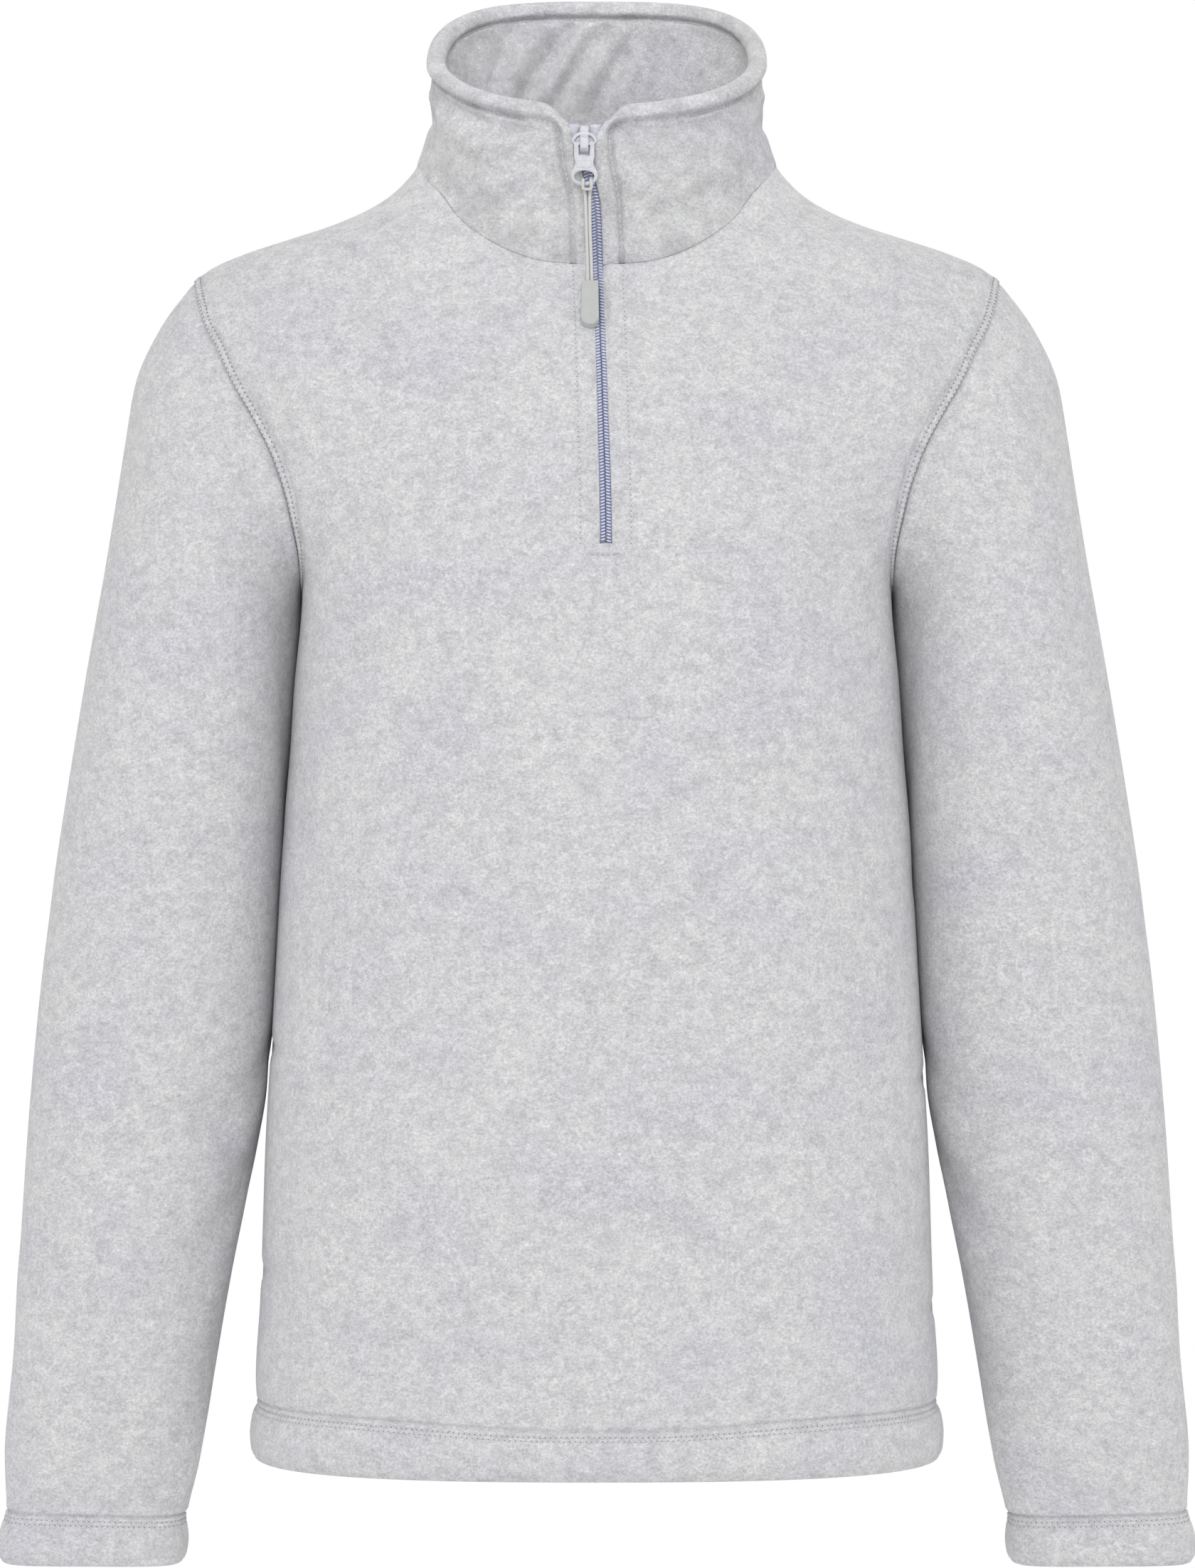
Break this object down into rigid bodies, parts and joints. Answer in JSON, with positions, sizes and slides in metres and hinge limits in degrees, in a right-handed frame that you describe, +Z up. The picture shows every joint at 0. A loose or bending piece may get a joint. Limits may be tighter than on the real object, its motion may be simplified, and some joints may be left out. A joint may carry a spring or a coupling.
{
  "type": "quarter-zip fleece pullover",
  "caption": "Long-sleeved fleece pullover in its worn, hollow form, with a stand collar, a chest-length front zip with a corded pull, and turned hems.",
  "frame": {"origin": "middle of the neck base, level with the tops of the shoulders", "axes": "+Z up along the body, -Y towards the front, +X towards the wearer's left"},
  "size_m": [0.6196, 0.2385, 0.8252],
  "materials": {
    "fleece": "light grey melange brushed fleece, short soft nap",
    "zip_tape": "pale lavender-grey woven tape with a glossy nylon coil",
    "metal": "satin pale grey lacquer",
    "cord": "tightly braided warm pale grey cord",
    "grip": "matt pale grey-green moulded rubber"
  },
  "bodies": {
    "pullover": {"front": "fleece", "back": "fleece", "sleeve_left": "fleece", "sleeve_right": "fleece", "collar": "fleece", "zip_left": "zip_tape", "zip_right": "zip_tape", "slider": "metal"},
    "pull_tab": {"puller": "metal", "pull_cord": "cord", "pull_grip": "grip"}
  },
  "joints": [
    {"name": "pull_tab_hinge", "type": "hinge", "parent": "pullover", "child": "pull_tab", "pos_m": [-0.0063, -0.07888, 0.0076], "axis": [-1, 0, 0], "range_deg": [0, 165]}
  ]
}
